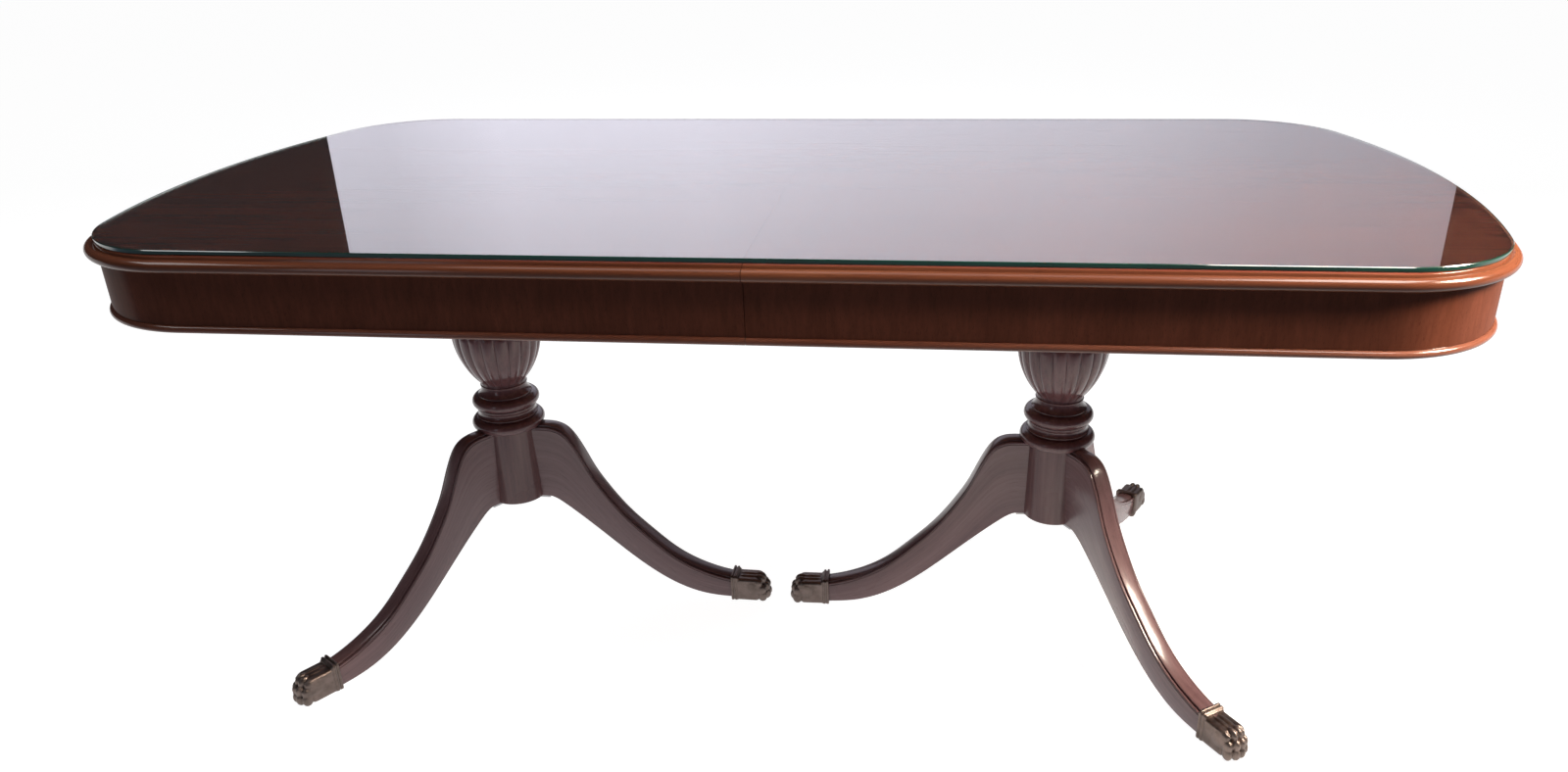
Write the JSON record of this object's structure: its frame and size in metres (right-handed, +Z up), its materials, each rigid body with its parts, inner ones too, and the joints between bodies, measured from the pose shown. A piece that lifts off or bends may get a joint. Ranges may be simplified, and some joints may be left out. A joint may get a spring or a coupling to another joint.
{
  "type": "double pedestal dining table",
  "caption": "Dining table on two reeded urn pedestals with sabre legs and brass paw feet; the top parts at the middle for leaves and carries a loose glass pane.",
  "frame": {"origin": "on the floor under the middle of the table, at the seam between its halves", "axes": "+Z up, +X along the table's length towards the half that slides, -Y towards the front"},
  "size_m": [1.896, 0.956, 0.7662],
  "materials": {
    "clear_glass": "polished clear float glass with a green edge",
    "mahogany_top": "polished mahogany veneer",
    "mahogany_moulding": "polished solid mahogany",
    "mahogany_apron": "polished flame mahogany veneer",
    "mahogany_bead": "polished solid mahogany, worn lighter",
    "mahogany_turned": "polished turned mahogany",
    "mahogany_leg": "polished shaped mahogany",
    "carcass_wood": "planed beech, unfinished",
    "cast_brass": "cast brass, aged bronze brown",
    "lock_brass": "stamped brass",
    "steel": "plain steel"
  },
  "bodies": {
    "left_half": {"left_top_panel": "mahogany_top", "left_front_edge_moulding": "mahogany_moulding", "left_back_edge_moulding": "mahogany_moulding", "left_end_edge_moulding": "mahogany_moulding", "left_front_apron": "mahogany_apron", "left_back_apron": "mahogany_apron", "left_end_apron": "mahogany_apron", "left_front_bead": "mahogany_bead", "left_back_bead": "mahogany_bead", "left_end_bead": "mahogany_bead", "left_apron_blocks": "carcass_wood", "left_bearers": "carcass_wood", "left_pedestal_head": "carcass_wood", "left_column": "mahogany_turned", "left_spider_plate": "steel", "left_inner_leg": "mahogany_leg", "left_front_leg": "mahogany_leg", "left_back_leg": "mahogany_leg", "left_inner_sabot": "cast_brass", "left_front_sabot": "cast_brass", "left_back_sabot": "cast_brass", "left_pedestal_screws": "steel", "left_rail_screws": "steel", "front_left_rail": "carcass_wood", "back_left_rail": "carcass_wood", "lock_plates": "lock_brass", "seam_dowels": "lock_brass"},
    "right_half": {"right_top_panel": "mahogany_top", "right_front_edge_moulding": "mahogany_moulding", "right_back_edge_moulding": "mahogany_moulding", "right_end_edge_moulding": "mahogany_moulding", "right_front_apron": "mahogany_apron", "right_back_apron": "mahogany_apron", "right_end_apron": "mahogany_apron", "right_front_bead": "mahogany_bead", "right_back_bead": "mahogany_bead", "right_end_bead": "mahogany_bead", "right_apron_blocks": "carcass_wood", "right_bearers": "carcass_wood", "right_pedestal_head": "carcass_wood", "right_column": "mahogany_turned", "right_spider_plate": "steel", "right_inner_leg": "mahogany_leg", "right_front_leg": "mahogany_leg", "right_back_leg": "mahogany_leg", "right_inner_sabot": "cast_brass", "right_front_sabot": "cast_brass", "right_back_sabot": "cast_brass", "right_pedestal_screws": "steel", "right_rail_screws": "steel", "front_right_rail": "carcass_wood", "back_right_rail": "carcass_wood", "lock_keepers": "lock_brass"},
    "front_middle_rail": {"front_middle_rail": "carcass_wood"},
    "back_middle_rail": {"back_middle_rail": "carcass_wood"},
    "front_lock_lever": {"front_lock_lever": "lock_brass"},
    "back_lock_lever": {"back_lock_lever": "lock_brass"},
    "glass_top": {"glass_top": "clear_glass"}
  },
  "joints": [
    {"name": "table_opening", "type": "slide", "parent": "left_half", "child": "right_half", "axis": [1, 0, 0], "range_m": [0, 0.6]},
    {"name": "front_rail_travel", "type": "slide", "parent": "left_half", "child": "front_middle_rail", "axis": [1, 0, 0], "range_m": [0, 0.3]},
    {"name": "back_rail_travel", "type": "slide", "parent": "left_half", "child": "back_middle_rail", "axis": [1, 0, 0], "range_m": [0, 0.3]},
    {"name": "front_lock_turn", "type": "hinge", "parent": "left_half", "child": "front_lock_lever", "pos_m": [-0.037, -0.12, 0.735], "axis": [0, 0, 1], "range_deg": [0, 95]},
    {"name": "back_lock_turn", "type": "hinge", "parent": "left_half", "child": "back_lock_lever", "pos_m": [-0.037, 0.12, 0.735], "axis": [0, 0, 1], "range_deg": [0, 95]},
    {"name": "glass_lift", "type": "slide", "parent": "left_half", "child": "glass_top", "axis": [0, 0, 1], "range_m": [0, 0.12]}
  ],
  "couplings": [
    {"joint": "front_rail_travel", "follows": "table_opening", "ratio": 0.5},
    {"joint": "back_rail_travel", "follows": "table_opening", "ratio": 0.5}
  ]
}
